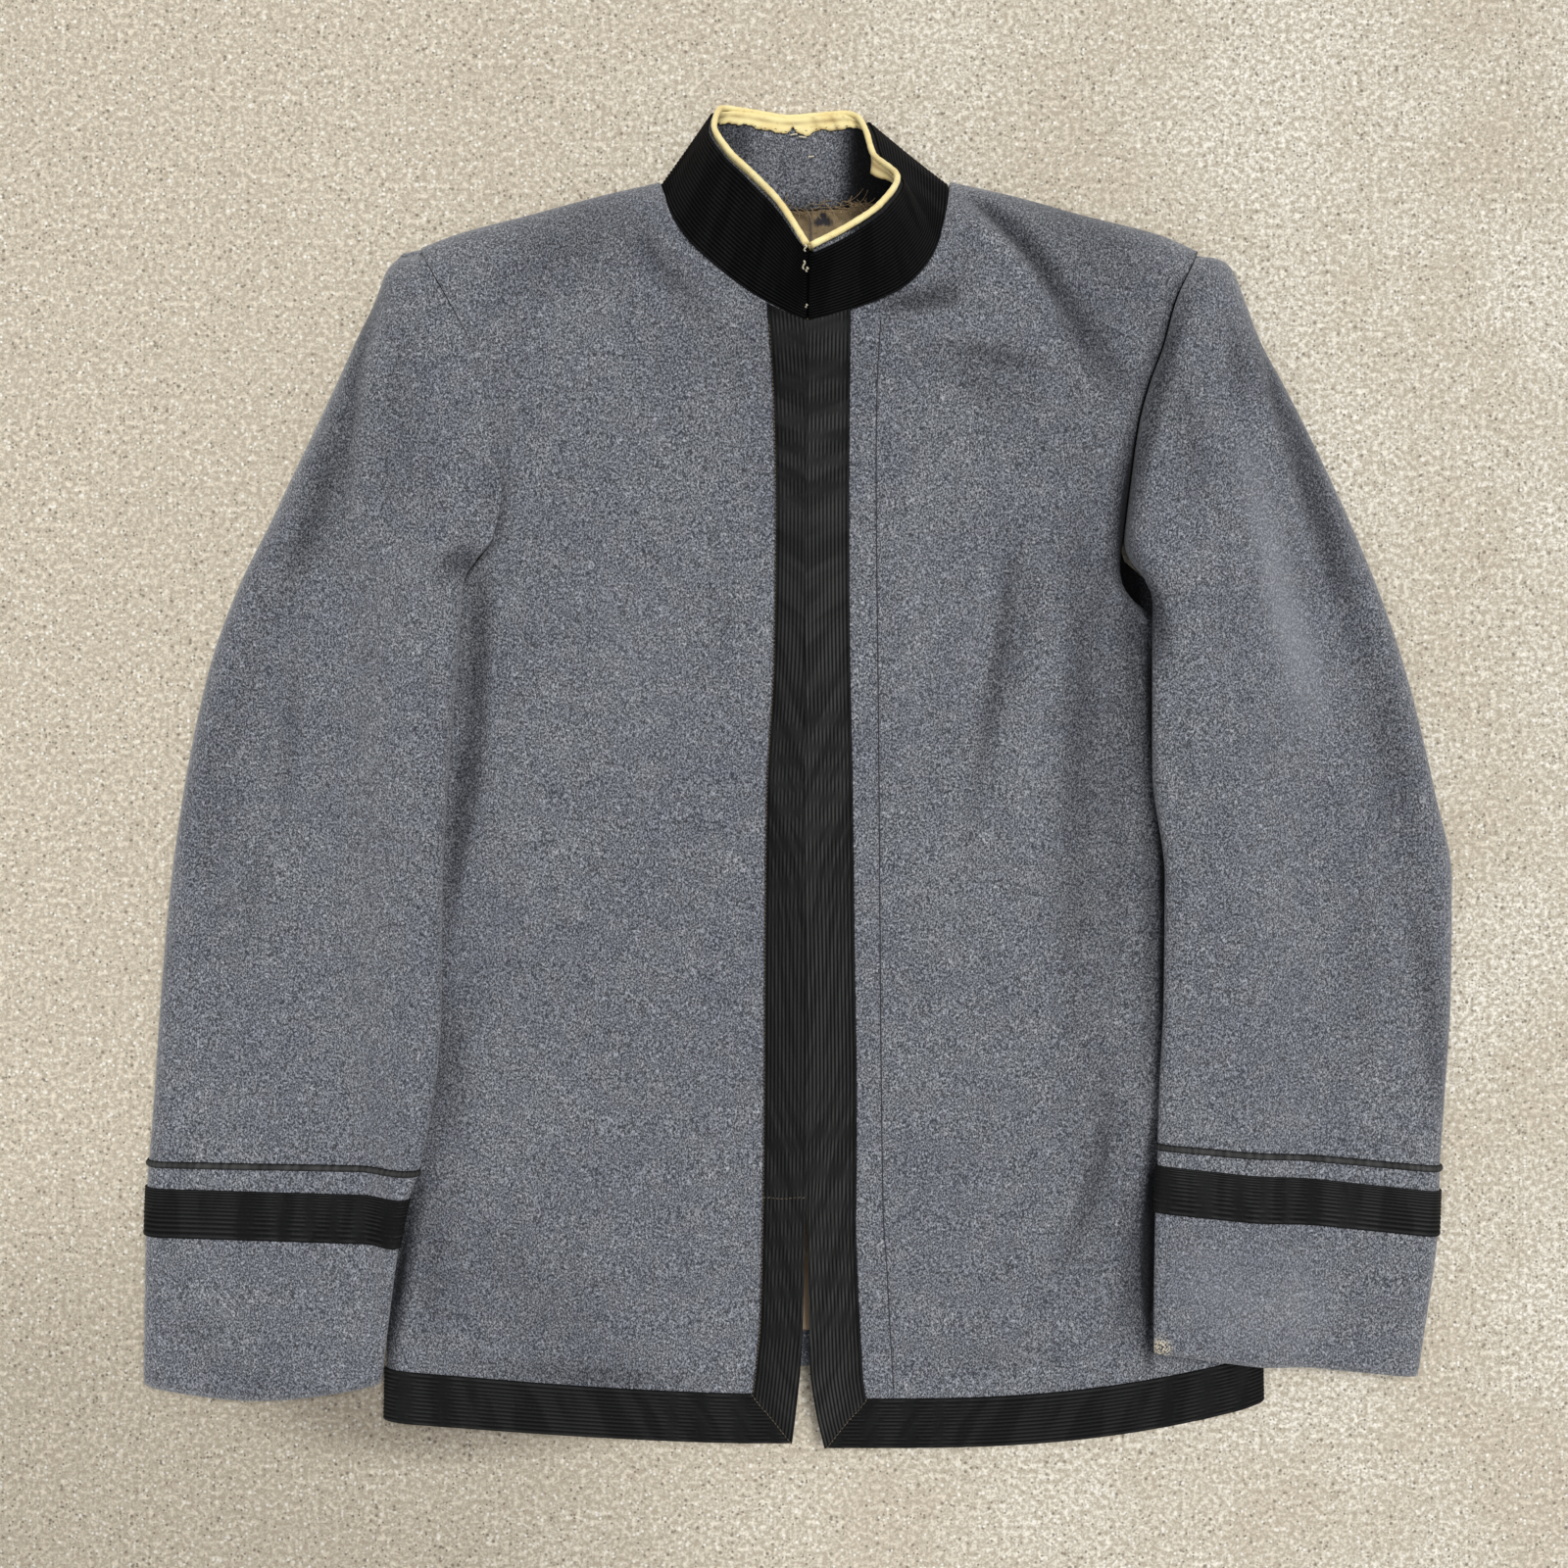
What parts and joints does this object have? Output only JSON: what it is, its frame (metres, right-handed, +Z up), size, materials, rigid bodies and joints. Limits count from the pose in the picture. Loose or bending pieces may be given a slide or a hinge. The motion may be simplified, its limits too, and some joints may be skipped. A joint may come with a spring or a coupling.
{
  "type": "uniform jacket",
  "caption": "Short cadet jacket laid flat on its back, standing collar and closed fronts edged in ribbed braid, with banded cuffs and open neck, hem and sleeves.",
  "frame": {"origin": "middle of the jacket's outline on the surface it lies on", "axes": "+Z up from the surface, +Y from hem to collar, +X towards the wearer's left"},
  "size_m": [0.7423, 0.7595, 0.1056],
  "materials": {
    "wool": "heathered blue-grey melton, soft nap",
    "braid": "black ribbed mohair braid",
    "lining": "worn tan cotton twill",
    "facing": "plain blue-grey wool",
    "piping": "pale yellow cotton, smooth",
    "hook": "worn pale metal wire"
  },
  "bodies": {
    "root": {"front_right": "wool", "front_braid_right": "braid", "hem_braid_right": "braid", "front_left": "wool", "front_braid_left": "braid", "hem_braid_left": "braid", "back_panel": "wool", "hem_braid_back": "braid", "back_hem_facing": "facing", "back_lining": "lining", "sleeve_top_right": "wool", "sleeve_under_right": "wool", "cuff_braid_right": "braid", "cuff_cord_right": "braid", "sleeve_top_left": "wool", "sleeve_under_left": "wool", "cuff_braid_left": "braid", "cuff_cord_left": "braid", "collar_stand": "wool", "collar_braid": "braid", "collar_band": "piping", "collar_piping": "piping", "collar_eye": "hook", "collar_hook": "hook"}
  },
  "joints": []
}
